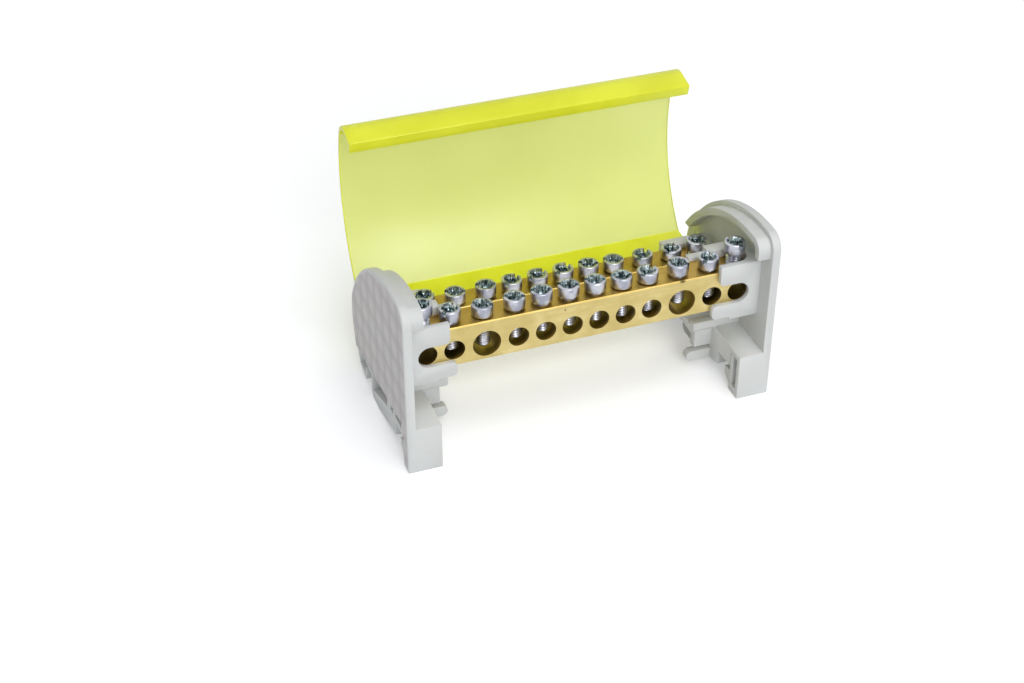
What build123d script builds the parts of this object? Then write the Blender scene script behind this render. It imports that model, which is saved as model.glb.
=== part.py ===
"""Two-level rail-mounted distribution block: two brass bars, clamping screws, end brackets, hinged cover.

Lengths are in millimetres.
The origin is mid-length on the mounting rail's centre line, in the plane that its top faces lie in.
+X runs along the bars and the rail, +Y to the rear where the cover is hinged, +Z up.
"""

import os
from math import cos, radians, sin, sqrt

from build123d import *

# Mounting rail that the feet clip on: a 35 mm top-hat rail
rail_width = 35.0
rail_sheet = 1.0
rail_play = 0.4

# Brass bars
bar_end_margin = 3.6
bar_depth = 7.6
bar_height = 11.0
bar_edge_chamfer = 0.25
front_bar_face_y = -16.5
front_bar_base_z = 17.5
rear_bar_face_y = 4.7
rear_bar_base_z = 7.65
bar_seat_gap = 0.05

# Ways along each bar, from left to right: s is a small wire hole, L a large one
way_sizes = "ssLssssssLss"
small_hole_d = 5.3
large_hole_d = 7.2
small_pitch = 7.0
large_pitch = 8.2
hole_centre_height = 4.55
screw_line_depth = 3.4

# Clamping screws
thread_d = 4.0
thread_gap = 0.05
point_gap = 0.4
point_chamfer = 0.7
head_d = 5.4
head_height = 2.85
head_edge_chamfer = 0.3
slot_width = 1.1
slot_depth = 1.1
slot_overrun = 1.0
cross_span = 4.2
cross_width = 1.2
cross_depth = 2.0
cross_taper = 8

# How far each head stands off its bar, and how far its slot is turned, from left to right
front_stand_offs = (3.55, 0.85, 0.2, 0.5, 0.75, 0.75, 0.6, 0.25, 0.2, 0.6, 0.55, 3.55)
rear_stand_offs = (0.6, 1.05, 0.2, 0.45, 0.5, 0.6, 0.75, 0.7, 0.4, 0.3, 0.3, 1.45)
front_slot_turns = (10, 40, 150, 160, 165, 155, 160, 165, 40, 140, 45, 100)
rear_slot_turns = (80, 15, 160, 165, 40, 30, 40, 155, 160, 45, 40, 115)

# End brackets: a flat outer plate with an arched top
# Each reach is measured inwards from the plate's inner face
bar_end_gap = 1.8
plate_thickness = 2.3
plate_front_y = -23.3
plate_rear_y = 24.5
plate_rim_radius = 0.5
arch_radius = 44.6
arch_top_z = 40.4
arch_rear_overrun = 4.25
front_corner_radius = 4.5
rear_shoulder_radius = 14.0
plate_rear_low = (24.1, 6.3)
plate_rear_base_y = 22.5
plate_rear_base_z = 0.7
plate_front_base_z = 5.2
strip_rear_y = -19.5
rest_z = -7.0

# Arched rib inside each plate, which the closed cover lies on
rib_inset = 1.3
rib_thickness = 2.0
rib_reach = 3.3
rib_front_end_z = 33.7
rib_rear_end_z = 20.9

# Front ear of each bracket, with the wire slot of the end way
ear_thickness = 1.3
ear_rise = 2.3
ear_base_z = 14.8
ear_reach = 10.9
ear_lower_reach = 12.6
ear_step_reach = 7.7
ear_step = 0.7
ear_corner_radius = 1.2
end_slot_radius = 2.9
end_slot_shift_x = 0.35
end_slot_rise = 0.3
screw_clearance_r = 3.2

# Walls of each bracket's two pockets
wall = 2.2
middle_wall_reach = 15.6
middle_wall_rise = 0.7
pocket_floor_reach = 9.3
beam_reach = 12.9
beam_base_z = 5.0
beam_lip_rise = 1.0
beam_chamfer = 1.4
rear_wall_rise = 1.35
rear_lip_depth = 1.3
rear_lip_rise = 2.4
top_wall = 1.3
top_wall_reach = 9.7

# Body of each bracket that sits on the rail and drops into its channel
seat_reach = 6.5
seat_recess = 0.6
seat_front_y = -18.0
jaw_relief = 0.2
pad_play = 0.4
nose_front_y = -11.2
nose_front_base_z = -4.0
nose_flat_front_y = 4.0
nose_rear_y = 10.3
nose_corner = 1.2
window_front_y = -4.2
window_front_base_z = -0.2
window_rear_y = 9.1
window_rear_base_z = -4.4
window_top_z = 2.6
web_reach = 13.3
web_step_reach = 11.3
web_gap_reach = 5.3
web_thickness = 2.3
web_gap_top_z = -0.6
web_gap_base_z = -2.0
web_base_z = -5.0
web_end_radius = 1.4

# Sprung front foot and fixed rear hook, which hold the rail's edges
foot_top_z = 6.0
foot_wall = 1.5
foot_floor = 2.2
foot_head = 1.7
foot_slot_depth = 2.2
foot_rear_wall = 1.2
latch_reach = 1.9
latch_tip_z = -3.4
latch_ramp_z = -5.6
hook_reach = 12.9
hook_root_y = 13.4
hook_outline = ((22.9, 3.0), (22.6, -0.8), (21.2, -3.7), (17.9, -5.5), (15.6, -5.5), (14.8, -3.4))
hook_top_z = 3.0

# Blind pockets in the outer side under the plate: front, rear and base of each
side_pockets = ((-16.5, -11.0, 1.8), (-9.4, -6.9, 1.1), (15.6, 20.8, -3.5))
side_pocket_depth = 3.0

# Cover: a clear arched sheet that follows the plates when closed, a hinge leaf and a hooked lip
cover_end_gap = 0.5
cover_thickness = 1.2
cover_rib_gap = 0.3
hinge_y = 19.2
hinge_z = 11.2
cover_open_angle = 75.7
cover_bend_z = 20.4
lip_end_z = 30.6
nub_reach = 1.9
nub_thickness = 1.2
leaf_thickness = 1.4
knuckle_d = 3.6
pin_d = 2.4
pin_gap = 0.05
pin_reach = 1.7
socket_depth = 1.8
open_stop_top_z = 10.6
open_stop_front_y = 21.6
open_stop_rear_y = 23.8
open_stop_reach = 1.8
open_stop_thickness = 1.6

middle_wall_front_y = front_bar_face_y + bar_depth + bar_seat_gap
middle_wall_rear_y = middle_wall_front_y + wall
rear_wall_front_y = rear_bar_face_y + bar_depth + bar_seat_gap
rear_wall_rear_y = rear_wall_front_y + wall
ear_rear_y = front_bar_face_y - bar_seat_gap
rear_lip_rear_y = rear_bar_face_y - bar_seat_gap
front_bar_top_z = front_bar_base_z + bar_height
rear_bar_top_z = rear_bar_base_z + bar_height
rail_front_y = -rail_width / 2
rail_rear_y = rail_width / 2
arch_centre_y = plate_rear_y + arch_rear_overrun - arch_radius
arch_centre_z = arch_top_z - arch_radius


def way_positions():
    """X of each way, from the sizes of the neighbouring wire holes."""
    places = [0.0]
    for neighbours in zip(way_sizes, way_sizes[1:]):
        places.append(places[-1] + (large_pitch if "L" in neighbours else small_pitch))
    middle = places[-1] / 2
    return [place - middle for place in places]


way_x = way_positions()
bar_length = way_x[-1] - way_x[0] + 2 * bar_end_margin
plate_inner_x = bar_length / 2 + bar_end_gap
plate_outer_x = plate_inner_x + plate_thickness
cover_half_length = plate_inner_x - cover_end_gap
screw_reach = bar_height - hole_centre_height + small_hole_d / 2 - point_gap
os.makedirs("parts", exist_ok=True)


def save(piece, name):
    """Label a finished piece and write its STEP file."""
    piece.label = name
    export_step(piece, f"parts/{name}.step")


# Brass bars: wire holes through from front to back, tapped holes down into them
def bar(face_y, base_z):
    hole_z = base_z + hole_centre_height
    with BuildPart() as brass:
        with BuildSketch(Plane.YZ.offset(-bar_length / 2)):
            with Locations((face_y + bar_depth / 2, base_z + bar_height / 2)):
                Rectangle(bar_depth, bar_height)
        extrude(amount=bar_length)
        chamfer(brass.edges().filter_by(Axis.X), bar_edge_chamfer)
        with BuildSketch(Plane.XZ.offset(-face_y - bar_depth)):
            for x, size in zip(way_x, way_sizes):
                with Locations((x, hole_z)):
                    Circle((large_hole_d if size == "L" else small_hole_d) / 2)
        extrude(amount=bar_depth, mode=Mode.SUBTRACT)
        with BuildSketch(Plane.XY.offset(base_z + bar_height)):
            with Locations(*[(x, face_y + screw_line_depth) for x in way_x]):
                Circle(thread_d / 2 + thread_gap)
        extrude(amount=hole_centre_height - bar_height, mode=Mode.SUBTRACT)
    return brass.part


save(bar(front_bar_face_y, front_bar_base_z), "front_bar")
save(bar(rear_bar_face_y, rear_bar_base_z), "rear_bar")


# Clamping screws: cheese head with a slot and a cross recess, thread left to its outer cylinder
def clamping_screw(x, y, seat_z, turn):
    head_top_z = seat_z + head_height
    with BuildPart() as screw:
        with BuildSketch(Plane.XY.offset(seat_z)):
            with Locations((x, y)):
                Circle(head_d / 2)
        extrude(amount=head_height)
        chamfer(screw.edges().group_by(Axis.Z)[-1], head_edge_chamfer)
        with BuildSketch(Plane.XY.offset(seat_z)):
            with Locations((x, y)):
                Circle(thread_d / 2)
        extrude(amount=-screw_reach)
        chamfer(screw.edges().group_by(Axis.Z)[0], point_chamfer)
        with BuildSketch(Plane.XY.offset(head_top_z)):
            with Locations(Location((x, y, 0), (0, 0, turn))):
                Rectangle(head_d + slot_overrun, slot_width)
        extrude(amount=-slot_depth, mode=Mode.SUBTRACT)
        with BuildSketch(Plane.XY.offset(head_top_z)):
            with Locations(Location((x, y, 0), (0, 0, turn))):
                Rectangle(cross_span, cross_width)
                Rectangle(cross_width, cross_span)
        extrude(amount=-cross_depth, taper=cross_taper, mode=Mode.SUBTRACT)
    return screw.part


rows = (
    ("front", front_bar_face_y, front_bar_base_z, front_stand_offs, front_slot_turns),
    ("rear", rear_bar_face_y, rear_bar_base_z, rear_stand_offs, rear_slot_turns),
)
for row, face_y, base_z, stand_offs, turns in rows:
    for way, x in enumerate(way_x):
        seat_z = base_z + bar_height + stand_offs[way]
        screw = clamping_screw(x, face_y + screw_line_depth, seat_z, turns[way])
        save(screw, f"{row}_screw_{way + 1:02d}")


# End brackets: one moulding, and its mirror image
front_line_top = arch_centre_z + sqrt(arch_radius**2 - (plate_front_y - arch_centre_y) ** 2)
rear_line_top = arch_centre_z + sqrt(arch_radius**2 - (plate_rear_y - arch_centre_y) ** 2)
way_slot_z = front_bar_base_z + hole_centre_height + end_slot_rise
end_way_x = way_x[-1]
screw_line_y = front_bar_face_y + screw_line_depth
rear_screw_line_y = rear_bar_face_y + screw_line_depth
floor_top_z = rear_bar_base_z - bar_seat_gap
ear_top_z = front_bar_top_z + ear_rise
ear_inner_x = plate_inner_x - ear_reach
ear_step_x = plate_inner_x - ear_step_reach
ear_lower_inner_x = plate_inner_x - ear_lower_reach
web_inner_x = plate_inner_x - web_reach
web_step_x = plate_inner_x - web_step_reach
web_gap_x = plate_inner_x - web_gap_reach
seat_outer_x = plate_outer_x - seat_recess
pad_front_y = rail_front_y + latch_reach + pad_play
pad_rear_y = hook_outline[-1][0] - pad_play
jaw_z = -rail_sheet - rail_play
foot_rear_y = plate_front_y + foot_wall + foot_slot_depth + foot_rear_wall


def plate_edge_z(y):
    """Height of the plate's slanting lower edge."""
    share = (y - strip_rear_y) / (plate_rear_base_y - strip_rear_y)
    return plate_front_base_z + share * (plate_rear_base_z - plate_front_base_z)


# arched outline shared by the plates, the ribs and the closed cover
with BuildSketch() as arch:
    with BuildLine():
        front_line = Line((plate_front_y, rest_z), (plate_front_y, front_line_top))
        crest = (arch_centre_y, arch_centre_z + arch_radius)
        arch_line = ThreePointArc(front_line @ 1, crest, (plate_rear_y, rear_line_top))
        Polyline(arch_line @ 1, (plate_rear_y, rest_z), front_line @ 0)
    make_face()
    fillet(arch.vertices().sort_by_distance((plate_front_y, front_line_top))[0], front_corner_radius)
    fillet(arch.vertices().sort_by_distance((plate_rear_y, rear_line_top))[0], rear_shoulder_radius)

front_pocket_y = (ear_rear_y, middle_wall_rear_y)
pocket_blocks = (
    # floor, rear wall and top round the end of the front bar
    (pocket_floor_reach, front_pocket_y, (ear_base_z, front_bar_base_z - bar_seat_gap)),
    (
        middle_wall_reach,
        (middle_wall_front_y, middle_wall_rear_y),
        (ear_base_z, front_bar_top_z + middle_wall_rise),
    ),
    (ear_reach, front_pocket_y, (front_bar_top_z + bar_seat_gap, ear_top_z)),
    # top over the end of the rear bar
    (
        top_wall_reach,
        (rear_bar_face_y, rear_wall_rear_y),
        (rear_bar_top_z + bar_seat_gap, rear_bar_top_z + top_wall),
    ),
    # stop under the open cover's leaf
    (
        open_stop_reach,
        (open_stop_front_y, open_stop_rear_y),
        (open_stop_top_z - open_stop_thickness, open_stop_top_z),
    ),
)

with BuildPart() as right_bracket:
    # seat on the rail and nose in its channel, with a window through from side to side
    with BuildSketch(Plane.YZ.offset(plate_inner_x - seat_reach)):
        with BuildLine():
            Polyline(
                (seat_front_y, foot_top_z),
                (middle_wall_rear_y, foot_top_z),
                (rear_wall_rear_y, beam_base_z),
                (hook_outline[0][0], hook_top_z),
                (rail_rear_y + rail_play, jaw_relief),
                (pad_rear_y, jaw_relief),
                (pad_rear_y, 0),
                (nose_rear_y, 0),
                (nose_rear_y, rest_z + nose_corner),
                (nose_rear_y - nose_corner, rest_z),
                (nose_flat_front_y, rest_z),
                (nose_front_y, nose_front_base_z),
                (nose_front_y, 0),
                (pad_front_y, 0),
                (pad_front_y, jaw_relief),
                (seat_front_y, jaw_relief),
                close=True,
            )
        make_face()
        with BuildLine():
            Polyline(
                (window_front_y, window_front_base_z),
                (window_rear_y, window_rear_base_z),
                (window_rear_y, window_top_z),
                (window_front_y, window_top_z),
                close=True,
            )
        make_face(mode=Mode.SUBTRACT)
    extrude(amount=seat_outer_x - plate_inner_x + seat_reach)
    # rear hook
    with BuildSketch(Plane.YZ.offset(plate_inner_x - hook_reach)):
        with BuildLine():
            Polyline(
                *hook_outline,
                (hook_outline[-1][0], jaw_z),
                (rail_rear_y + rail_play, jaw_z),
                (rail_rear_y + rail_play, jaw_relief),
                (hook_root_y, jaw_relief),
                (hook_root_y, beam_base_z),
                (rear_wall_rear_y, beam_base_z),
                close=True,
            )
        make_face()
    extrude(amount=seat_outer_x - plate_inner_x + hook_reach)
    # blind pockets up to the plate's lower edge
    with BuildSketch(Plane.YZ.offset(seat_outer_x)):
        for front_y, rear_y, base_z in side_pockets:
            with BuildLine():
                Polyline(
                    (front_y, base_z),
                    (rear_y, base_z),
                    (rear_y, plate_edge_z(rear_y)),
                    (front_y, plate_edge_z(front_y)),
                    close=True,
                )
            make_face()
    extrude(amount=-side_pocket_depth, mode=Mode.SUBTRACT)
    # outer plate
    with BuildSketch(Plane.YZ.offset(plate_inner_x)):
        add(arch.sketch)
        with BuildLine():
            Polyline(
                (plate_rear_y, rest_z),
                (plate_rear_y, plate_rear_low[1]),
                plate_rear_low,
                (plate_rear_base_y, plate_rear_base_z),
                (strip_rear_y, plate_front_base_z),
                (strip_rear_y, rest_z),
                close=True,
            )
        make_face(mode=Mode.SUBTRACT)
    extrude(amount=plate_thickness)
    fillet(right_bracket.faces().sort_by(Axis.X)[-1].edges(), plate_rim_radius)
    # arched rib
    with BuildSketch(Plane.YZ.offset(plate_inner_x - rib_reach)):
        add(arch.sketch)
        offset(amount=-rib_inset, mode=Mode.REPLACE)
        offset(amount=-rib_thickness, mode=Mode.SUBTRACT)
        with Locations((0, rib_rear_end_z)):
            Rectangle(rail_width * 2, arch_radius * 2, align=(Align.CENTER, Align.MAX), mode=Mode.SUBTRACT)
        with Locations((0, rib_front_end_z)):
            Rectangle(rail_width, arch_radius, align=(Align.MAX, Align.MAX), mode=Mode.SUBTRACT)
    extrude(amount=rib_reach)
    # front ear, cut by the wire slot of the end way
    with BuildSketch(Plane.XZ.offset(-ear_rear_y)) as ear:
        with BuildLine():
            Polyline(
                (ear_inner_x, ear_top_z),
                (plate_inner_x, ear_top_z),
                (plate_inner_x, ear_base_z),
                (ear_step_x, ear_base_z),
                (ear_step_x, ear_base_z + ear_step),
                (ear_lower_inner_x, ear_base_z + ear_step),
                (ear_lower_inner_x, way_slot_z),
                (ear_inner_x, way_slot_z),
                close=True,
            )
        make_face()
        with Locations((end_way_x - end_slot_shift_x, way_slot_z)):
            Circle(end_slot_radius, mode=Mode.SUBTRACT)
            Rectangle(bar_depth * 2, end_slot_radius * 2, align=(Align.MAX, Align.CENTER), mode=Mode.SUBTRACT)
        fillet(ear.vertices().group_by(Axis.X)[0], ear_corner_radius)
        slot_corner = (ear_inner_x, way_slot_z + end_slot_radius)
        fillet(ear.vertices().sort_by_distance(slot_corner)[0], ear_corner_radius)
    extrude(amount=ear_thickness)
    # pocket of the rear bar: floor, lips and rear wall in one profile
    with BuildSketch(Plane.YZ.offset(plate_inner_x - beam_reach)):
        with BuildLine():
            Polyline(
                (middle_wall_front_y + beam_chamfer, beam_base_z),
                (rear_wall_rear_y, beam_base_z),
                (rear_wall_rear_y, rear_bar_top_z + rear_wall_rise),
                (rear_wall_front_y, rear_bar_top_z + rear_wall_rise),
                (rear_wall_front_y, floor_top_z),
                (rear_lip_rear_y, floor_top_z),
                (rear_lip_rear_y, floor_top_z + rear_lip_rise),
                (rear_lip_rear_y - rear_lip_depth, floor_top_z + rear_lip_rise),
                (rear_lip_rear_y - rear_lip_depth, floor_top_z),
                (middle_wall_rear_y, floor_top_z),
                (middle_wall_rear_y, floor_top_z + beam_lip_rise),
                (middle_wall_front_y, floor_top_z + beam_lip_rise),
                (middle_wall_front_y, beam_base_z + beam_chamfer),
                close=True,
            )
        make_face()
    extrude(amount=beam_reach)
    # walls of both pockets that reach in from the plate
    for reach, (y0, y1), (z0, z1) in pocket_blocks:
        with Locations((plate_inner_x - reach, y0, z0)):
            Box(reach, y1 - y0, z1 - z0, align=(Align.MIN, Align.MIN, Align.MIN))
    # clearance round the end screws, open towards the middle
    for line_y, bar_top_z, cut_top_z in (
        (screw_line_y, front_bar_top_z, ear_top_z),
        (rear_screw_line_y, rear_bar_top_z, rear_bar_top_z + top_wall),
    ):
        with BuildSketch(Plane.XY.offset(cut_top_z)):
            with Locations((end_way_x, line_y)):
                Circle(screw_clearance_r)
                Rectangle(bar_depth * 2, screw_clearance_r * 2, align=(Align.MAX, Align.CENTER))
        extrude(amount=bar_top_z - cut_top_z, mode=Mode.SUBTRACT)
    # stepped web under the floor
    with BuildSketch(Plane.XZ.offset(-middle_wall_rear_y)) as web:
        with BuildLine():
            Polyline(
                (web_step_x, beam_base_z),
                (plate_inner_x, beam_base_z),
                (plate_inner_x, web_base_z),
                (web_inner_x, web_base_z),
                (web_inner_x, web_gap_base_z),
                (web_gap_x, web_gap_base_z),
                (web_gap_x, web_gap_top_z),
                (web_step_x, web_gap_top_z),
                close=True,
            )
        make_face()
        fillet(web.vertices().group_by(Axis.X)[0], web_end_radius)
    extrude(amount=-web_thickness)
    # sprung foot at the front
    with BuildSketch(Plane.YZ.offset(plate_inner_x - seat_reach)):
        with BuildLine():
            Polyline(
                (plate_front_y, foot_top_z),
                (seat_front_y, foot_top_z),
                (seat_front_y, foot_top_z - foot_head),
                (foot_rear_y, foot_top_z - foot_head),
                (foot_rear_y, jaw_z),
                (rail_front_y + latch_reach, jaw_z),
                (rail_front_y + latch_reach, latch_tip_z),
                (foot_rear_y, latch_ramp_z),
                (foot_rear_y, rest_z),
                (plate_front_y, rest_z),
                close=True,
            )
        make_face()
        with Locations((plate_front_y + foot_wall, rest_z + foot_floor)):
            Rectangle(
                foot_slot_depth,
                foot_top_z - foot_head - rest_z - foot_floor,
                align=(Align.MIN, Align.MIN),
                mode=Mode.SUBTRACT,
            )
    extrude(amount=seat_outer_x - plate_inner_x + seat_reach)
    # socket of the cover's hinge pin
    with BuildSketch(Plane.YZ.offset(plate_inner_x)):
        with Locations((hinge_y, hinge_z)):
            Circle(pin_d / 2 + pin_gap)
    extrude(amount=socket_depth, mode=Mode.SUBTRACT)

save(right_bracket.part, "right_bracket")
save(mirror(right_bracket.part, about=Plane.YZ), "left_bracket")


# Cover: drawn where it lies when closed, on a plane swung about the hinge to where it stands open
swing = Plane(
    origin=(0, hinge_y, hinge_z),
    x_dir=(0, cos(radians(cover_open_angle)), -sin(radians(cover_open_angle))),
    z_dir=(1, 0, 0),
)
open_origin = swing.from_local_coords(Vector(-hinge_y, -hinge_z, 0))
open_plane = Plane(origin=open_origin, x_dir=swing.x_dir, z_dir=(1, 0, 0))
sheet_inset = rib_inset - cover_rib_gap
bend_rise = cover_bend_z - arch_centre_z
bend_y = arch_centre_y + sqrt((arch_radius - sheet_inset) ** 2 - bend_rise**2)

with BuildPart() as cover:
    with BuildSketch(open_plane) as sheet:
        add(arch.sketch)
        offset(amount=cover_thickness - sheet_inset, mode=Mode.REPLACE)
        offset(amount=-cover_thickness, mode=Mode.SUBTRACT)
        with Locations((0, cover_bend_z)):
            Rectangle(rail_width * 2, arch_radius * 2, align=(Align.CENTER, Align.MAX), mode=Mode.SUBTRACT)
        with Locations((0, lip_end_z)):
            Rectangle(rail_width, arch_radius, align=(Align.MAX, Align.MAX), mode=Mode.SUBTRACT)
        with Locations((plate_front_y + sheet_inset, lip_end_z)):
            Rectangle(nub_reach, nub_thickness, align=(Align.MIN, Align.MIN))
        with BuildLine():
            Polyline(
                (hinge_y - leaf_thickness / 2, hinge_z),
                (bend_y, cover_bend_z),
                (bend_y + cover_thickness, cover_bend_z),
                (hinge_y + leaf_thickness / 2, hinge_z),
                close=True,
            )
        make_face()
        with Locations((hinge_y, hinge_z)):
            Circle(knuckle_d / 2)
    extrude(amount=cover_half_length, both=True)
    with BuildSketch(Plane.YZ):
        with Locations((hinge_y, hinge_z)):
            Circle(pin_d / 2)
    extrude(amount=cover_half_length + pin_reach, both=True)

save(cover.part, "cover")
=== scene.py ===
import math

import bmesh
import bpy
from mathutils import Matrix, Vector


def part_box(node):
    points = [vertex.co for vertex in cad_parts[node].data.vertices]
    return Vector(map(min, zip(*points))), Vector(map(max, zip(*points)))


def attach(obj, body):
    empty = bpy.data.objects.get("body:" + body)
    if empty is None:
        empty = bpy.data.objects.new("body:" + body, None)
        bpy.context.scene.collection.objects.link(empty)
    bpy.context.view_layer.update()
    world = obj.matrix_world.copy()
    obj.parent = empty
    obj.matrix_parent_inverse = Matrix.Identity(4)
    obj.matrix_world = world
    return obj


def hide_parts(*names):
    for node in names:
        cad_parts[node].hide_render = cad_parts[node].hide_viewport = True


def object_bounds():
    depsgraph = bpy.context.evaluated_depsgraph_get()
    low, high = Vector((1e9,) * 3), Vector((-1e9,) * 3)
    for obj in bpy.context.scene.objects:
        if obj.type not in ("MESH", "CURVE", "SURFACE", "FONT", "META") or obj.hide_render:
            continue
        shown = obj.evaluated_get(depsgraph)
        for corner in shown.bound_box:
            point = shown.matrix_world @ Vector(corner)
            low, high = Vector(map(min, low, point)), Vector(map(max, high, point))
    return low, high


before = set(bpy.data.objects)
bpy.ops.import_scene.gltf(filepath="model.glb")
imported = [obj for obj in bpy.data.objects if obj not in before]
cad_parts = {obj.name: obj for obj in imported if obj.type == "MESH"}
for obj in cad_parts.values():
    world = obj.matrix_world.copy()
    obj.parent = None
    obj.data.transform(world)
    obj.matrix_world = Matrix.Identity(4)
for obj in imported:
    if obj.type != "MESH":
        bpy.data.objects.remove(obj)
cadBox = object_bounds()
print("frame loaded")

mm = 0.001


def hexColour(code, share=1.0):
    # sRGB hex to the linear values that the sockets want, dimmed to a share
    parts = [int(code[i:i + 2], 16) / 255 for i in (1, 3, 5)]
    linear = [p / 12.92 if p <= 0.04045 else ((p + 0.055) / 1.055) ** 2.4 for p in parts]
    return tuple(share * p for p in linear) + (1.0,)


def addNode(tree, kind, given=None):
    # another node's output is linked, stops go to a ramp's elements as place, colour and share,
    # and the rest to the node's properties where it has them, or else to its inputs
    node = tree.nodes.new(kind)
    for key, value in (given or {}).items():
        if isinstance(value, bpy.types.NodeSocket):
            tree.links.new(value, node.inputs[key])
        elif key == "stops":
            elements = node.color_ramp.elements
            while len(elements) < len(value):
                elements.new(1.0)
            for element, (place, *shade) in zip(elements, value):
                element.position = place
                element.color = hexColour(*shade)
        elif isinstance(key, str) and hasattr(node, key):
            setattr(node, key, value)
        else:
            node.inputs[key].default_value = value
    return node


def newMaterial(name):
    material = bpy.data.materials.new(name)
    material.use_nodes = True
    tree = material.node_tree
    tree.nodes.clear()
    return material, tree


# Materials of the screws, brackets and cover

zincLook = {
    "tones": ((0.36, "#9FA2AF"), (0.62, "#CACBD3")),  # place on the ramp, colour
    "cloudMm": 2.5,
    # painted shade and painted reflection: dark and light streaks inside the head's recess
    "recessShadeTones": ((0.42, "#5F6C72"), (0.6, "#D3DEDF")),
    "streakMm": 0.42,
    "streakFlatten": 0.2,
    "roughness": 0.3,
    "roughSpread": 0.06,
}


def makeZinc(look):
    # bright zinc plate on steel: cool grey with a faint lilac tone, slightly cloudy,
    # painted shade and painted reflection in dark and light streaks down the recess
    material, tree = newMaterial("zincPlatedSteel")
    coords = addNode(tree, "ShaderNodeTexCoord").outputs["Object"]
    cloud = addNode(tree, "ShaderNodeTexNoise", {
        "Scale": 1 / (look["cloudMm"] * mm), "Detail": 2.0, "Vector": coords}).outputs["Fac"]
    plate = addNode(tree, "ShaderNodeValToRGB", {"stops": look["tones"], "Fac": cloud}).outputs["Color"]
    across = 1 / (look["streakMm"] * mm)
    down = addNode(tree, "ShaderNodeMapping", {
        "Scale": (across, across, across * look["streakFlatten"]), "Vector": coords}).outputs[0]
    streak = addNode(tree, "ShaderNodeTexNoise", {
        "Scale": 1.0, "Detail": 1.0, "Vector": down}).outputs["Fac"]
    # painted shade and painted reflection: streaked colour for the faces inside the recess
    paintedRecessShade = addNode(tree, "ShaderNodeValToRGB", {
        "stops": look["recessShadeTones"], "Fac": streak}).outputs["Color"]
    recess = addNode(tree, "ShaderNodeAttribute", {"attribute_name": "recess"}).outputs["Fac"]
    colour = addNode(tree, "ShaderNodeMix", {
        "data_type": "RGBA", 0: recess, 6: plate, 7: paintedRecessShade}).outputs[2]
    rough = addNode(tree, "ShaderNodeMath", {
        "operation": "MULTIPLY_ADD", 0: cloud, 1: look["roughSpread"],
        2: look["roughness"] - look["roughSpread"] / 2}).outputs[0]
    shader = addNode(tree, "ShaderNodeBsdfPrincipled", {
        "Metallic": 1.0, "Base Color": colour, "Roughness": rough})
    addNode(tree, "ShaderNodeOutputMaterial", {"Surface": shader.outputs[0]})
    return material


mouldingLook = {
    "tones": ((0.3, "#CFD1D0", 0.97), (0.7, "#CFD1D0")),
    # textured faces: darker, partly their own duller tone and partly painted shade; channels get painted
    # shade
    "texturedToneAndShade": ((0.1, "#B5B1B0"), (0.85, "#C9C5C4")),
    "mottleMm": 2.2,
    "mottleShare": 0.5,
    "padChannelShadeShare": 0.75,
    "padFrom": -0.2,
    "grainMm": 0.14,  # coarser than the real grain, so that it shows
    "grainDepthMm": 0.03,
    "grainStrength": 0.2,
    "faceGrainStrength": 0.35,
    "roughness": 0.52,
    "ior": 1.53,
    "softness": 0.08,
    "softMm": 0.6,
}


def makeMoulding(name, look, textured):
    # moulded polyamide: pale cool grey, satin, with a fine grain; the textured outer faces are
    # mottled and darker, partly by their own duller tone and partly by painted shade, with
    # more painted shade in the channels between their pads
    material, tree = newMaterial(name)
    coords = addNode(tree, "ShaderNodeTexCoord").outputs["Object"]
    grain = addNode(tree, "ShaderNodeTexNoise", {
        "Scale": 1 / (look["grainMm"] * mm), "Detail": 2.0, "Vector": coords}).outputs["Fac"]
    mottle = addNode(tree, "ShaderNodeTexNoise", {
        "Scale": 1 / (look["mottleMm"] * mm), "Detail": 4.0, "Roughness": 0.6,
        "Vector": coords}).outputs["Fac"]
    share = mottle
    if textured:
        pad = addNode(tree, "ShaderNodeAttribute", {"attribute_name": "pad"}).outputs["Fac"]
        # painted shade: lower tone where the pad height is low, in the channels between the pads
        padChannelShade = addNode(tree, "ShaderNodeMath", {
            "operation": "MULTIPLY_ADD", 0: pad, 1: look["padChannelShadeShare"], 2: look["padFrom"]}).outputs[0]
        share = addNode(tree, "ShaderNodeMath", {
            "operation": "MULTIPLY_ADD", "use_clamp": True,
            0: mottle, 1: look["mottleShare"], 2: padChannelShade}).outputs[0]
    ramp = addNode(tree, "ShaderNodeValToRGB", {
        "stops": look["texturedToneAndShade" if textured else "tones"], "Fac": share}).outputs["Color"]
    bump = addNode(tree, "ShaderNodeBump", {
        "Strength": look["faceGrainStrength" if textured else "grainStrength"],
        "Distance": look["grainDepthMm"] * mm, "Height": grain})
    shader = addNode(tree, "ShaderNodeBsdfPrincipled", {
        "Roughness": look["roughness"], "IOR": look["ior"], "Subsurface Weight": look["softness"],
        "Subsurface Scale": look["softMm"] * mm, "Base Color": ramp, "Normal": bump.outputs[0]})
    addNode(tree, "ShaderNodeOutputMaterial", {"Surface": shader.outputs[0]})
    return material


sheetLook = {
    "tones": ((0.35, "#EEF592"), (0.65, "#F4FA9C")),
    "cloudMm": 30.0,
    "transmission": 0.72,
    "roughness": 0.3,
    "specular": 0.25,
    "ior": 1.585,
}
edgeLook = {
    "tones": ((0.35, "#F2F62C"), (0.65, "#FBFF3C")),
    "cloudMm": 12.0,
    "transmission": 0.35,
    "roughness": 0.3,
    "specular": 0.3,
    "ior": 1.585,
}


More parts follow.
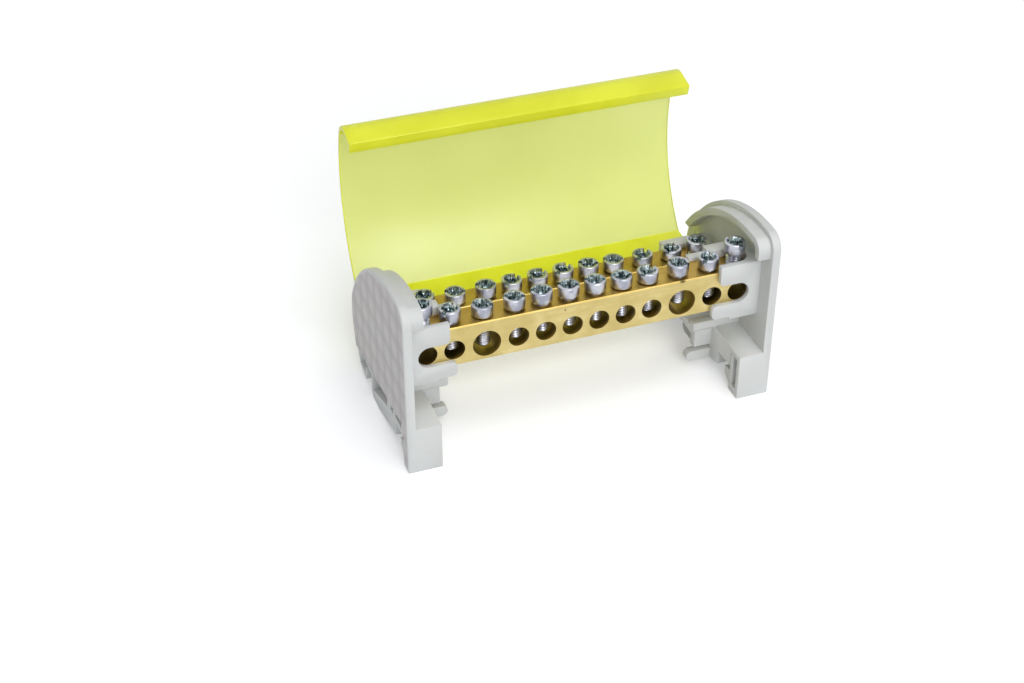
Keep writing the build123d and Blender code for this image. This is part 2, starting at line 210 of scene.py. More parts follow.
def makePolycarbonate(name, look):
    # yellow polycarbonate, extruded: smooth, light passes through the thin sheet, and gathers
    # to a deep yellow in its edges and folds
    material, tree = newMaterial(name)
    coords = addNode(tree, "ShaderNodeTexCoord").outputs["Object"]
    cloud = addNode(tree, "ShaderNodeTexNoise", {
        "Scale": 1 / (look["cloudMm"] * mm), "Detail": 2.0, "Vector": coords}).outputs["Fac"]
    ramp = addNode(tree, "ShaderNodeValToRGB", {"stops": look["tones"], "Fac": cloud}).outputs["Color"]
    shader = addNode(tree, "ShaderNodeBsdfPrincipled", {
        "Transmission Weight": look["transmission"], "IOR": look["ior"], "Roughness": look["roughness"],
        "Specular IOR Level": look["specular"], "Base Color": ramp})
    addNode(tree, "ShaderNodeOutputMaterial", {"Surface": shader.outputs[0]})
    return material


zincPlatedSteel = makeZinc(zincLook)
mouldedPolyamide = makeMoulding("mouldedPolyamide", mouldingLook, False)
texturedShadedPolyamide = makeMoulding("texturedShadedPolyamide", mouldingLook, True)
yellowSheet = makePolycarbonate("extrudedPolycarbonate", sheetLook)
yellowEdge = makePolycarbonate("extrudedPolycarbonateEdge", edgeLook)
print("materials made")


def meshObject(name, mesh):
    thing = bpy.data.objects.new(name, mesh)
    bpy.context.scene.collection.objects.link(thing)
    return thing


def meshFrom(name, shape, *materials):
    # a finished bmesh as a mesh with its materials
    mesh = bpy.data.meshes.new(name)
    shape.to_mesh(mesh)
    shape.free()
    for material in materials:
        mesh.materials.append(material)
    return mesh


def addRounding(thing, name, width, segments, angleDeg):
    # rounds the edges that are sharper than the angle
    rounding = thing.modifiers.new(name, "BEVEL")
    rounding.width = width
    rounding.segments = segments
    rounding.limit_method = "ANGLE"
    rounding.angle_limit = math.radians(angleDeg)
    return rounding


def bakeModifiers(thing):
    # the evaluated result as a plain mesh on the same object, with no modifier left
    graph = bpy.context.evaluated_depsgraph_get()
    mesh = bpy.data.meshes.new_from_object(thing.evaluated_get(graph))
    thing.modifiers.clear()
    old = thing.data
    thing.data = mesh
    bpy.data.meshes.remove(old)


def smoothShade(mesh, sharpDeg):
    for face in mesh.polygons:
        face.use_smooth = True
    mesh.set_sharp_from_angle(angle=math.radians(sharpDeg))


# Brass bars: the solids as they are, in their own material

brassLook = {
    "tones": ((0.36, "#C8B474"), (0.5, "#D2BF7F"), (0.64, "#E0CF94")),
    "lineWidthMm": 0.3,  # coarser than the real drawing lines, so that they show
    "lineLengthMm": 16.0,
    "lineShare": 0.4,
    "stainMm": 5.0,
    # painted shade: upward faces are multiplied by this tint, up to this share
    "topShadeTint": "#D6BE80",
    "topShadeShare": 0.8,
    # painted shade deep inside the bar, where the bores are
    "boreShadeTint": "#B8B9A6",
    "boreShadeMm": 1.2,
    "burrs": ((25.6, -16.4, 28.25, 0.85, 0.42), (-5.6, -16.5, 27.1, 0.28, 0.25)),  # x, y, z, half sizes
    "burrColour": "#3A3220",
    "burrShare": 0.85,
    "burrFade": (0.6, 1.1),
    "roughness": 0.36,
    "roughSpread": 0.2,
    "lineDepthMm": 0.02,
    "lineStrength": 0.2,
    "edgeMm": 0.06,
}


def makeBrass(name, look, box):
    # drawn free-cutting brass: faint lines along the bar, painted shade on its upward faces, stained
    # by handling, a few dark burrs, and painted shade deep inside the bar's box, which is where its bores
    # are
    material, tree = newMaterial(name)
    coords = addNode(tree, "ShaderNodeTexCoord").outputs["Object"]
    across = 1 / (look["lineWidthMm"] * mm)
    along = 1 / (look["lineLengthMm"] * mm)
    stretched = addNode(tree, "ShaderNodeMapping", {"Scale": (along, across, across), "Vector": coords})
    lines = addNode(tree, "ShaderNodeTexNoise", {
        "Scale": 1.0, "Detail": 3.0, "Roughness": 0.6, "Vector": stretched.outputs[0]}).outputs["Fac"]
    stain = addNode(tree, "ShaderNodeTexNoise", {
        "Scale": 1 / (look["stainMm"] * mm), "Detail": 4.0, "Vector": coords}).outputs["Fac"]
    lineTone = addNode(tree, "ShaderNodeMath", {
        "operation": "MULTIPLY", 0: lines, 1: look["lineShare"]}).outputs[0]
    tone = addNode(tree, "ShaderNodeMath", {
        "operation": "MULTIPLY_ADD", 0: stain, 1: 1 - look["lineShare"], 2: lineTone}).outputs[0]
    ramp = addNode(tree, "ShaderNodeValToRGB", {"stops": look["tones"], "Fac": tone}).outputs["Color"]

    # painted shade on the top: colour multiplied darker the more a face points up
    facing = addNode(tree, "ShaderNodeNewGeometry").outputs["Normal"]
    height = addNode(tree, "ShaderNodeSeparateXYZ", {0: facing}).outputs["Z"]
    up = addNode(tree, "ShaderNodeMath", {
        "operation": "MULTIPLY", "use_clamp": True, 0: height, 1: look["topShadeShare"]}).outputs[0]
    colour = addNode(tree, "ShaderNodeMix", {
        "data_type": "RGBA", "blend_type": "MULTIPLY",
        0: up, 6: ramp, 7: hexColour(look["topShadeTint"])}).outputs[2]

    # painted shade: darker the further a point lies inside the bar's box, that is, in the bores
    here = addNode(tree, "ShaderNodeSeparateXYZ", {0: coords}).outputs
    deep = look["boreShadeMm"] * mm
    for axis in (1, 2):
        for ends in ((here[axis], box[0][axis]), (box[1][axis], here[axis])):
            away = addNode(tree, "ShaderNodeMath", {
                "operation": "SUBTRACT", 0: ends[0], 1: ends[1]}).outputs[0]
            deep = addNode(tree, "ShaderNodeMath", {
                "operation": "MINIMUM", 0: deep, 1: away}).outputs[0]
    inside = addNode(tree, "ShaderNodeMath", {
        "operation": "DIVIDE", "use_clamp": True, 0: deep, 1: look["boreShadeMm"] * mm}).outputs[0]
    colour = addNode(tree, "ShaderNodeMix", {
        "data_type": "RGBA", "blend_type": "MULTIPLY",
        0: inside, 6: colour, 7: hexColour(look["boreShadeTint"])}).outputs[2]

    for x, y, z, halfWidth, halfHeight in look["burrs"]:
        away = addNode(tree, "ShaderNodeMapping", {
            "vector_type": "TEXTURE",
            "Location": (x * mm, y * mm, z * mm),
            "Scale": (halfWidth * mm, halfHeight * mm, halfHeight * mm),
            "Vector": coords}).outputs[0]
        length = addNode(tree, "ShaderNodeVectorMath", {"operation": "LENGTH", 0: away}).outputs["Value"]
        mark = addNode(tree, "ShaderNodeMapRange", {
            "From Min": look["burrFade"][0], "From Max": look["burrFade"][1],
            "To Min": look["burrShare"], "To Max": 0.0, "Value": length}).outputs[0]
        colour = addNode(tree, "ShaderNodeMix", {
            "data_type": "RGBA", 0: mark, 6: colour, 7: hexColour(look["burrColour"])}).outputs[2]

    rough = addNode(tree, "ShaderNodeMath", {
        "operation": "MULTIPLY_ADD", 0: lines, 1: look["roughSpread"],
        2: look["roughness"] - look["roughSpread"] / 2}).outputs[0]
    bump = addNode(tree, "ShaderNodeBump", {
        "Strength": look["lineStrength"], "Distance": look["lineDepthMm"] * mm, "Height": lines})
    soft = addNode(tree, "ShaderNodeBevel", {
        "samples": 4, "Radius": look["edgeMm"] * mm, "Normal": bump.outputs[0]})
    shader = addNode(tree, "ShaderNodeBsdfPrincipled", {
        "Metallic": 1.0, "Base Color": colour, "Roughness": rough, "Normal": soft.outputs[0]})
    addNode(tree, "ShaderNodeOutputMaterial", {"Surface": shader.outputs[0]})
    return material


for barName in ("front_bar", "rear_bar"):
    drawnBrass = makeBrass("drawnBrass_" + barName, brassLook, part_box(barName))
    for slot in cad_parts[barName].material_slots:
        slot.material = drawnBrass
print("bars dressed")

# End brackets: the solids' shape with a moulding's rounded edges, and rows of shallow pads
# on the outer faces

bracketSizes = {
    "edgeMm": 0.28,
    "segments": 3,
    "angleDeg": 40,
    "smoothDeg": 35,
    "mergeMm": 0.002,
    "flatDeg": 1.0,
    "flatMm": 0.001,
    "cutSnapMm": 0.0001,
    "smallestFaceMm2": 4,
    "padPitch": 6.5,
    "padCentre": (-2.3, 19.0),
    "padRound": 2.2,
    "padTop": 0.3,
    "padFoot": 1.3,
    "channelDepth": 0.2,
    "fade": 1.0,
    "grid": 0.5,
}


def padHeight(y, z, sizes):
    # 1 on a pad and 0 in the channels round it, for a point's y and z in mm
    half = sizes["padPitch"] / 2
    u, v = (abs((value - centre + half) % sizes["padPitch"] - half) / half
            for value, centre in zip((y, z), sizes["padCentre"]))
    away = (u ** sizes["padRound"] + v ** sizes["padRound"]) ** (1 / sizes["padRound"])
    share = (sizes["padFoot"] - away) / (sizes["padFoot"] - sizes["padTop"])
    share = min(max(share, 0.0), 1.0)
    return share * share * (3 - 2 * share)


def distanceToEdge(point, edges):
    nearest = 1.0
    for a, b in edges:
        run = b - a
        t = min(max((point - a).dot(run) / run.length_squared, 0.0), 1.0)
        nearest = min(nearest, (point - a - run * t).length)
    return nearest


def isOuter(vert, faceX, sizes):
    return abs(abs(vert.co.x) - faceX) < sizes["flatMm"] * mm


def cutAcross(shape, faceX, axis, place, sizes):
    # cut the flat outer face along one line, square to an axis
    pieces = set()
    for f in shape.faces:
        reach = [v.co[axis] for v in f.verts]
        if min(reach) < place < max(reach) and all(isOuter(v, faceX, sizes) for v in f.verts):
            pieces.update([f], f.edges, f.verts)
    point = [0, 0, 0]
    point[axis] = place
    normal = [0, 0, 0]
    normal[axis] = 1
    bmesh.ops.bisect_plane(shape, geom=list(pieces), plane_co=point, plane_no=normal,
                           dist=sizes["cutSnapMm"] * mm)


def makePads(shape, sizes):
    # cut the flat outer face into a fine grid and sink the channels between the pads
    faceX = max(abs(v.co.x) for v in shape.verts)
    outer = [f for f in shape.faces if all(isOuter(v, faceX, sizes) for v in f.verts)]
    outer = [f for f in outer if f.calc_area() > sizes["smallestFaceMm2"] * mm * mm]
    rim = [(e.verts[0].co.copy(), e.verts[1].co.copy()) for f in outer for e in f.edges
           if sum(g in outer for g in e.link_faces) == 1]
    corners = [v.co.copy() for f in outer for v in f.verts]
    step = sizes["grid"] * mm
    for axis in (1, 2):
        low = min(corner[axis] for corner in corners)
        high = max(corner[axis] for corner in corners)
        for i in range(1, math.ceil((high - low) / step)):
            cutAcross(shape, faceX, axis, low + i * step, sizes)
    # pad height, which sinks the channels and also puts painted shade in them in the textured material
    layer = shape.verts.layers.float.new("pad")
    inside = {v for v in shape.verts if isOuter(v, faceX, sizes)}
    for v in inside:
        height = padHeight(v.co.y / mm, v.co.z / mm, sizes)
        v[layer] = height
        fade = min(distanceToEdge(v.co, rim) / (sizes["fade"] * mm), 1.0)
        v.co.x -= math.copysign(sizes["channelDepth"] * mm * (1 - height) * fade, v.co.x)
    for f in shape.faces:
        if all(v in inside for v in f.verts):
            f.material_index = 1


def makeBracket(nodeName, sizes):
    shape = bmesh.new()
    shape.from_mesh(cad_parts[nodeName].data)
    bmesh.ops.remove_doubles(shape, verts=shape.verts, dist=sizes["mergeMm"] * mm)
    bmesh.ops.dissolve_limit(shape, angle_limit=math.radians(sizes["flatDeg"]),
                             verts=shape.verts, edges=shape.edges)
    for f in shape.faces:
        f.material_index = 0
    makePads(shape, sizes)
    name = nodeName + "Moulding"
    bracket = meshObject(name, meshFrom(name, shape, mouldedPolyamide, texturedShadedPolyamide))
    rounding = addRounding(
        bracket, "roundedEdges", sizes["edgeMm"] * mm, sizes["segments"], sizes["angleDeg"])
    rounding.harden_normals = True
    bakeModifiers(bracket)
    smoothShade(bracket.data, sizes["smoothDeg"])
    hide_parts(nodeName)
    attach(bracket, "block")


for nodeName in ("left_bracket", "right_bracket"):
    makeBracket(nodeName, bracketSizes)
print("brackets made")

# Hinged cover, drawn closed and swung open about its hinge

coverSizes = {
    "halfLength": 45.8,
    "thickness": 1.2,
    "archRadius": 44.6,
    "archCentre": (-15.85, -4.2),
    "frontY": -23.3,
    "cornerRadius": 4.5,
    "inset": 1.0,
    "bendZ": 20.4,
    "lipEndZ": 30.6,
    "nubReach": 1.9,
    "nubThickness": 1.2,
    "hinge": (19.2, 11.2),
    "leafThickness": 1.4,
    "openDeg": 75.7,
    "arcSteps": 64,
    "cornerSteps": 14,
    "edge": 0.22,
    "segments": 3,
    "angleDeg": 40,
    "knuckleRadius": 1.8,
    "pinRadius": 1.2,
    "pinHalfLength": 47.5,
    "rodSides": 48,
    "rodChamfer": 0.3,
}


def sheetSide(sizes, offset):
    # one side of the closed sheet, from the bend over the top to the end of the lip
    cy, cz = sizes["archCentre"]
    radius = sizes["archRadius"] + offset
    corner = sizes["cornerRadius"] + offset
    cornerY = sizes["frontY"] + sizes["cornerRadius"]
    reach = sizes["archRadius"] - sizes["cornerRadius"]
    cornerZ = cz + math.sqrt(reach ** 2 - (cornerY - cy) ** 2)
    start = math.asin((sizes["bendZ"] - cz) / radius)
    end = math.atan2(cornerZ - cz, cornerY - cy)
    points = []
    for i in range(sizes["arcSteps"] + 1):
        a = start + (end - start) * i / sizes["arcSteps"]
        points.append((cy + radius * math.cos(a), cz + radius * math.sin(a)))
    for i in range(1, sizes["cornerSteps"] + 1):
        a = end + (math.pi - end) * i / sizes["cornerSteps"]
        points.append((cornerY + corner * math.cos(a), cornerZ + corner * math.sin(a)))
    points.append((sizes["frontY"] - offset, sizes["lipEndZ"]))
    return points


def coverProfile(sizes):
    # leaf, inner side, hooked lip and outer side of the closed cover, as one loop
    inner = sheetSide(sizes, -sizes["inset"])
    outer = sheetSide(sizes, sizes["thickness"] - sizes["inset"])
    hy, hz = sizes["hinge"]
    half = sizes["leafThickness"] / 2
    lipY = inner[-1][0]
    nubY = lipY + sizes["nubReach"]
    nubZ = sizes["lipEndZ"] + sizes["nubThickness"]
    nub = [(lipY, nubZ), (nubY, nubZ), (nubY, sizes["lipEndZ"])]
    return [(hy - half, hz)] + inner[:-1] + nub + outer[::-1] + [(hy + half, hz)]


def swungOpen(point, sizes):
    hy, hz = sizes["hinge"]
    a = -math.radians(sizes["openDeg"])
    y, z = point[0] - hy, point[1] - hz
    return hy + y * math.cos(a) - z * math.sin(a), hz + y * math.sin(a) + z * math.cos(a)


def makeCover(sizes):
    shape = bmesh.new()
    closed = coverProfile(sizes)
    half = sizes["halfLength"] * mm
    profile = [swungOpen(p, sizes) for p in closed]
    left = [shape.verts.new((-half, y * mm, z * mm)) for y, z in profile]
    right = [shape.verts.new((half, y * mm, z * mm)) for y, z in profile]
    for i in range(len(profile)):
        j = (i + 1) % len(profile)
        face = shape.faces.new((left[i], left[j], right[j], right[i]))
        isLeaf = max(closed[i][1], closed[j][1]) < sizes["bendZ"] + 0.01
        isLip = max(closed[i][0], closed[j][0]) < sizes["frontY"] + sizes["cornerRadius"]
        face.material_index = int(isLeaf or isLip)
    for cap in (left[::-1], right):
        shape.faces.new(cap).material_index = 1
    bmesh.ops.recalc_face_normals(shape, faces=shape.faces)
    cover = meshObject("hingedCover", meshFrom("hingedCover", shape, yellowSheet, yellowEdge))
    rounding = addRounding(cover, "rounded", sizes["edge"] * mm, sizes["segments"], sizes["angleDeg"])
    rounding.material = 1
    bakeModifiers(cover)
    smoothShade(cover.data, sizes["angleDeg"])
    return cover


def makeRod(name, sizes, radius, halfLength):
    # a round rod along the hinge with chamfered ends
    shape = bmesh.new()
    hy, hz = sizes["hinge"]
    turn = Matrix.Translation((0, hy * mm, hz * mm)) @ Matrix.Rotation(math.pi / 2, 4, "Y")
    bmesh.ops.create_cone(shape, cap_ends=True, segments=sizes["rodSides"], radius1=radius * mm,
                          radius2=radius * mm, depth=2 * halfLength * mm, matrix=turn)
    ends = [e for e in shape.edges if abs(e.verts[0].co.x - e.verts[1].co.x) < 1e-6]
    bmesh.ops.bevel(shape, geom=ends, offset=sizes["rodChamfer"] * mm, segments=2, profile=0.5,
                    affect="EDGES")
    rod = meshObject(name, meshFrom(name, shape, yellowEdge))
    smoothShade(rod.data, sizes["angleDeg"])
    return rod


cover = makeCover(coverSizes)
knuckle = makeRod("hingeKnuckle", coverSizes, coverSizes["knuckleRadius"], coverSizes["halfLength"])
pins = makeRod("hingePins", coverSizes, coverSizes["pinRadius"], coverSizes["pinHalfLength"])
for piece in (cover, knuckle, pins):
    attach(piece, "cover")
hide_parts("cover")
print("cover made")

# Clamping screws

screwSizes = {
    "headRadius": 2.7,
    "headHeight": 2.85,
    "headEdge": 0.3,
    "headSides": 64,
    "headSmoothDeg": 30,
    "slotLength": 8.0,
    "slotWidth": 1.1,
    "slotDepth": 1.1,
    "crossSpan": 4.2,
    "crossWidth": 1.2,
    "crossDepth": 2.0,
    "crossTaper": 0.78,
    "dishRadius": 2.0,
    "dishFootRadius": 1.72,
    "dishDepth": 0.8,
    "dishSides": 48,
    "markSpan": 3.5,
    "markWidth": 0.5,
    "markDepth": 1.3,
    "rimWidth": 0.5,
    "recessOutward": 0.3,
    "recessFoot": 0.1,
    "recessTop": 0.01,
    "threadRadius": 1.99,
    "threadDepth": 0.38,
    "threadSmoothDeg": 35,
    "pitch": 0.7,
    "flank": (0.08, 0.42),  # where the thread's flank starts and ends, in pitches from the crest
    "reach": 8.7,
    "pointLength": 0.7,
    "pointShrink": 0.34,
    "shankSides": 36,
    "shankRings": 100,
}
slotTurns = {  # how far each head's slot is turned, in degrees, from left to right
    "front": (10, 40, 150, 160, 165, 155, 160, 165, 40, 140, 45, 100),
    "rear": (80, 15, 160, 165, 40, 30, 40, 155, 160, 45, 40, 115),
}


def cutterObject(name, size, top, turnDeg=0.0, taper=1.0):
    # a box cutter reaching down from the head's top, narrower at its foot where it tapers
    shape = bmesh.new()
    turn = Matrix.Rotation(math.radians(turnDeg), 4, "Z")
    for v in bmesh.ops.create_cube(shape, size=1.0)["verts"]:
        share = taper if v.co.z < 0 else 1.0
        x, y, z = v.co
        v.co = turn @ Vector((x * size[0] * share, y * size[1] * share, z * size[2] + top))
    return meshObject(name, meshFrom(name, shape))


def dishCutter(sizes):
    # a shallow cone whose middle lies in the head's top
    shape = bmesh.new()
    bmesh.ops.create_cone(shape, cap_ends=True, segments=sizes["dishSides"],
                          radius1=sizes["dishFootRadius"],
                          radius2=2 * sizes["dishRadius"] - sizes["dishFootRadius"],
                          depth=2 * sizes["dishDepth"],
                          matrix=Matrix.Translation((0, 0, sizes["headHeight"])))
    return meshObject("dishCutter", meshFrom("dishCutter", shape))


def markRecess(head, sizes):
    # 1 on the faces inside the recess, for the zinc's painted shade and painted reflection streaks
    recess = head.data.attributes.new("recess", "FLOAT", "FACE")
    for face, share in zip(head.data.polygons, recess.data):
        out = face.center.xy
        facesIn = face.normal.xy.dot(out) < sizes["recessOutward"]
        withinRim = out.length < sizes["headRadius"] - sizes["rimWidth"]
        low, high = sizes["recessFoot"], sizes["headHeight"] - sizes["recessTop"]
        share.value = float(facesIn and withinRim and low < face.center.z < high)


def makeHead(sizes):
    # cheese head in mm with its seat at z = 0: cylinder with a rounded rim, and dish, slot, cross
    # and corner marks cut out
    shape = bmesh.new()
    height = sizes["headHeight"]
    radius = sizes["headRadius"]
    bmesh.ops.create_cone(shape, cap_ends=True, segments=sizes["headSides"], radius1=radius,
                          radius2=radius, depth=height, matrix=Matrix.Translation((0, 0, height / 2)))
    rims = [e for e in shape.edges if abs(e.verts[0].co.z - e.verts[1].co.z) < 1e-6]
    bmesh.ops.bevel(shape, geom=rims, offset=sizes["headEdge"], segments=3, profile=0.6,
                    affect="EDGES")
    head = meshObject("screwHead", meshFrom("screwHead", shape))
    slot = (sizes["slotLength"], sizes["slotWidth"], sizes["slotDepth"] * 2)
    arm = (sizes["crossSpan"], sizes["crossWidth"], sizes["crossDepth"] * 2)
    mark = (sizes["markSpan"], sizes["markWidth"], sizes["markDepth"] * 2)
    cutters = [dishCutter(sizes), cutterObject("slotCutter", slot, height)]
    for turn, box in ((0, arm), (90, arm), (45, mark), (135, mark)):
        cutters.append(cutterObject("crossCutter%d" % turn, box, height, turn, sizes["crossTaper"]))
    for cutter in cutters:
        cut = head.modifiers.new(cutter.name, "BOOLEAN")
        cut.operation = "DIFFERENCE"
        cut.solver = "EXACT"
        cut.object = cutter
    bakeModifiers(head)
    for cutter in cutters:
        bpy.data.objects.remove(cutter)
    smoothShade(head.data, sizes["headSmoothDeg"])
    markRecess(head, sizes)
    return head


def makeScrewTree(sizes):
    # threaded shank from a cylinder whose radius follows the helix, joined to the head, turned
    # and put in place
    tree = bpy.data.node_groups.new("clampingScrew", "GeometryNodeTree")
    sockets = {}
    for name, kind, value in (
        ("Head", "NodeSocketObject", None),
        ("Thread Radius", "NodeSocketFloat", sizes["threadRadius"]),
        ("Reach", "NodeSocketFloat", sizes["reach"]),
        ("Pitch", "NodeSocketFloat", sizes["pitch"]),
        ("Thread Depth", "NodeSocketFloat", sizes["threadDepth"]),
        ("Point Length", "NodeSocketFloat", sizes["pointLength"]),
        ("Point Shrink", "NodeSocketFloat", sizes["pointShrink"]),
        ("Place", "NodeSocketVector", None),
        ("Turn", "NodeSocketFloat", 0.0),
        ("Material", "NodeSocketMaterial", None),
    ):
        sockets[name] = tree.interface.new_socket(name, in_out="INPUT", socket_type=kind)
        if value is not None:
            sockets[name].default_value = value
    tree.interface.new_socket("Geometry", in_out="OUTPUT", socket_type="NodeSocketGeometry")
    given = addNode(tree, "NodeGroupInput").outputs
    shank = addNode(tree, "GeometryNodeMeshCylinder", {
        "Vertices": sizes["shankSides"], "Side Segments": sizes["shankRings"], "fill_type": "NGON",
        "Radius": given["Thread Radius"], "Depth": given["Reach"]})
    position = addNode(tree, "GeometryNodeInputPosition").outputs[0]
    here = addNode(tree, "ShaderNodeSeparateXYZ", {0: position}).outputs

    # the groove: a point's distance from the nearest crest, in pitches, and from it the depth
    angle = addNode(tree, "ShaderNodeMath", {
        "operation": "ARCTAN2", 0: here["Y"], 1: here["X"]}).outputs[0]
    turns = addNode(tree, "ShaderNodeMath", {"operation": "DIVIDE", 0: angle, 1: 2 * math.pi}).outputs[0]
    rise = addNode(tree, "ShaderNodeMath", {
        "operation": "DIVIDE", 0: here["Z"], 1: given["Pitch"]}).outputs[0]
    phase = addNode(tree, "ShaderNodeMath", {"operation": "SUBTRACT", 0: rise, 1: turns}).outputs[0]
    wave = addNode(tree, "ShaderNodeMath", {"operation": "PINGPONG", 0: phase, 1: 0.5}).outputs[0]
    flank = addNode(tree, "ShaderNodeMapRange", {
        "From Min": sizes["flank"][0], "From Max": sizes["flank"][1],
        "To Min": 0.0, "To Max": 1.0, "Value": wave}).outputs[0]
    depth = addNode(tree, "ShaderNodeMath", {
        "operation": "DIVIDE", 0: given["Thread Depth"], 1: given["Thread Radius"]}).outputs[0]
    groove = addNode(tree, "ShaderNodeMath", {"operation": "MULTIPLY", 0: flank, 1: depth}).outputs[0]

    # the point: narrower towards the tip
    low = addNode(tree, "ShaderNodeMath", {
        "operation": "MULTIPLY", 0: given["Reach"], 1: -0.5}).outputs[0]
    lift = addNode(tree, "ShaderNodeMath", {
        "operation": "SUBTRACT", 0: here["Z"], 1: low}).outputs[0]
    point = addNode(tree, "ShaderNodeMapRange", {
        "From Min": 0.0, "To Max": 0.0, "Value": lift, "From Max": given["Point Length"],
        "To Min": given["Point Shrink"]}).outputs[0]
    narrow = addNode(tree, "ShaderNodeMath", {"operation": "MAXIMUM", 0: groove, 1: point}).outputs[0]
    inward = addNode(tree, "ShaderNodeMath", {"operation": "MULTIPLY", 0: narrow, 1: -1.0}).outputs[0]
    moveX, moveY = (
        addNode(tree, "ShaderNodeMath", {"operation": "MULTIPLY", 0: here[axis], 1: inward}).outputs[0]
        for axis in ("X", "Y"))
    move = addNode(tree, "ShaderNodeCombineXYZ", {0: moveX, 1: moveY}).outputs[0]
    threaded = addNode(tree, "GeometryNodeSetPosition", {
        "Geometry": shank.outputs["Mesh"], "Offset": move})
    smooth = addNode(tree, "GeometryNodeSetShadeSmooth", {"Shade Smooth": True, 0: threaded.outputs[0]})
    drop = addNode(tree, "ShaderNodeCombineXYZ", {"Z": low}).outputs[0]
    lowered = addNode(tree, "GeometryNodeTransform", {"Geometry": smooth.outputs[0], "Translation": drop})

    # with the head, turned and placed
    head = addNode(tree, "GeometryNodeObjectInfo", {
        "transform_space": "ORIGINAL", "Object": given["Head"]})
    joined = addNode(tree, "GeometryNodeJoinGeometry")
    tree.links.new(lowered.outputs[0], joined.inputs[0])
    tree.links.new(head.outputs["Geometry"], joined.inputs[0])
    turn = addNode(tree, "ShaderNodeMath", {"operation": "RADIANS", 0: given["Turn"]}).outputs[0]
    spin = addNode(tree, "ShaderNodeCombineXYZ", {"Z": turn}).outputs[0]
    placed = addNode(tree, "GeometryNodeTransform", {
        "Scale": (mm, mm, mm), "Geometry": joined.outputs[0],
        "Translation": given["Place"], "Rotation": spin})
    real = addNode(tree, "GeometryNodeRealizeInstances", {0: placed.outputs[0]})
    finished = addNode(tree, "GeometryNodeSetMaterial", {
        "Geometry": real.outputs[0], "Material": given["Material"]})
    addNode(tree, "NodeGroupOutput", {0: finished.outputs[0]})
    return tree, sockets


def makeScrew(nodeName, head, tree, sockets, sizes, turn):
    # the frame's own screw gives the axis and the top of the head
    low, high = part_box(nodeName)
    seat = high.z - sizes["headHeight"] * mm
    place = ((low.x + high.x) / 2, (low.y + high.y) / 2, seat)
    screw = meshObject(nodeName + "Threaded", bpy.data.meshes.new(nodeName))
    build = screw.modifiers.new("clampingScrew", "NODES")
    build.node_group = tree
    inputs = {"Head": head, "Place": place, "Turn": float(turn), "Material": zincPlatedSteel}
    for key, value in inputs.items():
        build[sockets[key].identifier] = value
    bakeModifiers(screw)
    screw.data.set_sharp_from_angle(angle=math.radians(sizes["threadSmoothDeg"]))
    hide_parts(nodeName)
    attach(screw, nodeName)


head = makeHead(screwSizes)
screwTree, screwSockets = makeScrewTree(screwSizes)
for rowName, turns in slotTurns.items():
    for way, turn in enumerate(turns, 1):
        nodeName = "%s_screw_%02d" % (rowName, way)
        makeScrew(nodeName, head, screwTree, screwSockets, screwSizes, turn)
bpy.data.objects.remove(head)
print("screws made")

# Floor, light and camera

studio = {
    "footGap": 0.03,  # the floor lies this far under the feet
    "floorSize": 3.0,
    "floorColour": "#EDEFF2",
    "whiteLift": 0.29,
    "world": 0.38,
    "lamps": (  # name, where its light comes from, spread in degrees, strength
        ("softTop", (0.1, -0.36, 0.92), 40, 1.06),
        ("softFront", (-0.05, -0.88, 0.46), 35, 1.3),
    ),
}
seenRays = ("Is Camera Ray", "Is Glossy Ray", "Is Transmission Ray")


def anyRay(tree, kinds):
    # 1 for a ray of any of these kinds
    light = addNode(tree, "ShaderNodeLightPath").outputs
    found = light[kinds[0]]
    for kind in kinds[1:]:
        found = addNode(tree, "ShaderNodeMath", {
            "operation": "MAXIMUM", 0: found, 1: light[kind]}).outputs[0]
    return found


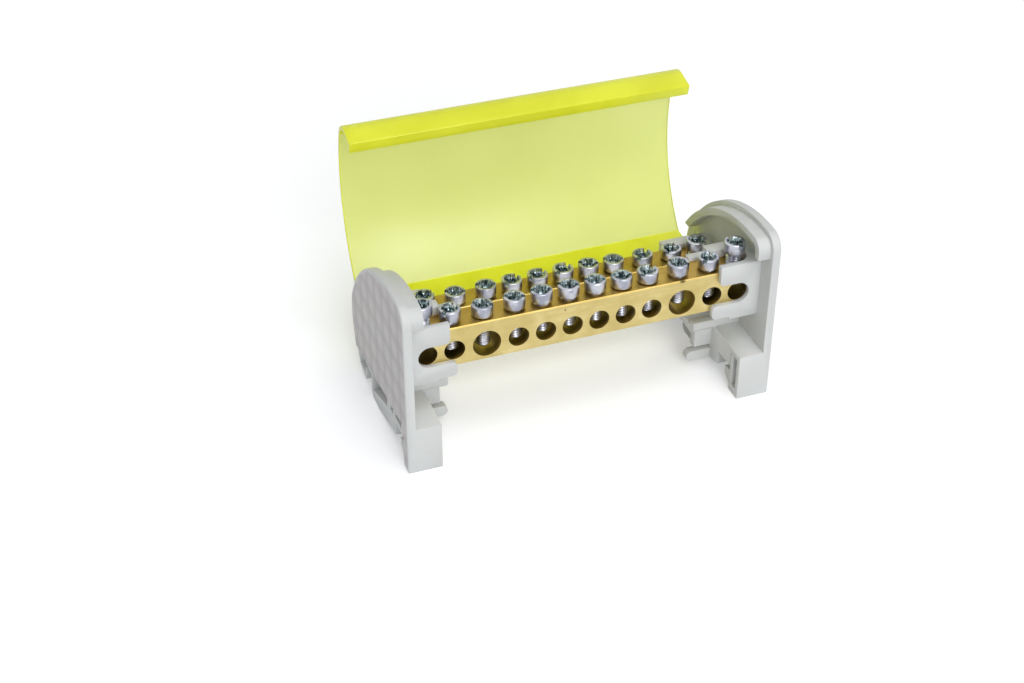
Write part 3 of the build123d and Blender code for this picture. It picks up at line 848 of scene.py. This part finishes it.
def makeFloor(sizes):
    # plain pale floor that shows nearly white around the object's shadow
    material, tree = newMaterial("paleFloor")
    plain = addNode(tree, "ShaderNodeBsdfDiffuse", {"Color": hexColour(sizes["floorColour"])}).outputs[0]
    glow = addNode(tree, "ShaderNodeEmission", {"Color": (1, 1, 1, 1), "Strength": sizes["whiteLift"]})
    both = addNode(tree, "ShaderNodeAddShader", {0: plain, 1: glow.outputs[0]}).outputs[0]
    mixed = addNode(tree, "ShaderNodeMixShader", {0: anyRay(tree, seenRays), 1: plain, 2: both})
    addNode(tree, "ShaderNodeOutputMaterial", {"Surface": mixed.outputs[0]})
    shape = bmesh.new()
    bmesh.ops.create_grid(shape, x_segments=1, y_segments=1, size=sizes["floorSize"],
                          matrix=Matrix.Translation((0, 0, cadBox[0][2] - sizes["footGap"] * mm)))
    floor = meshObject("floor", meshFrom("floor", shape, material))


def makeWorld(sizes):
    # white where it is seen or mirrored, dimmer where it lights the object
    world = bpy.data.worlds.new("studio")
    bpy.context.scene.world = world
    world.use_nodes = True
    tree = world.node_tree
    tree.nodes.clear()
    dim = addNode(tree, "ShaderNodeBackground", {"Color": (1, 1, 1, 1), "Strength": sizes["world"]})
    white = addNode(tree, "ShaderNodeBackground", {"Color": (1, 1, 1, 1), "Strength": 1.0})
    mixed = addNode(tree, "ShaderNodeMixShader", {
        0: anyRay(tree, seenRays), 1: dim.outputs[0], 2: white.outputs[0]})
    addNode(tree, "ShaderNodeOutputWorld", {"Surface": mixed.outputs[0]})


def addSoftLamp(name, towards, spreadDeg, strength):
    # a broad soft lamp so far away that the floor is lit evenly
    lamp = bpy.data.lights.new(name, "SUN")
    lamp.angle = math.radians(spreadDeg)
    lamp.energy = strength
    thing = bpy.data.objects.new(name, lamp)
    bpy.context.scene.collection.objects.link(thing)
    thing.rotation_euler = (-Vector(towards)).to_track_quat("-Z", "Y").to_euler()


photoView = {  # lens in mm, the camera's axes, and its place in metres
    "lens": 61.135,
    "sensorWidth": 36.0,
    "right": (0.94012, -0.34085, 0.0),
    "up": (0.19830, 0.54695, 0.81337),
    "back": (-0.27725, -0.76466, 0.58171),
    "place": (-0.1361, -0.3386, 0.2661),
}


def addCamera(view):
    eye = bpy.data.cameras.new("photoCamera")
    eye.lens = view["lens"]
    eye.sensor_width = view["sensorWidth"]
    camera = bpy.data.objects.new("photoCamera", eye)
    bpy.context.scene.collection.objects.link(camera)
    turn = Matrix((view["right"], view["up"], view["back"])).transposed().to_4x4()
    camera.matrix_world = Matrix.Translation(view["place"]) @ turn
    bpy.context.scene.camera = camera


makeFloor(studio)
makeWorld(studio)
for lampSettings in studio["lamps"]:
    addSoftLamp(*lampSettings)
addCamera(photoView)
bpy.context.scene.view_settings.view_transform = "Standard"
print("studio ready")
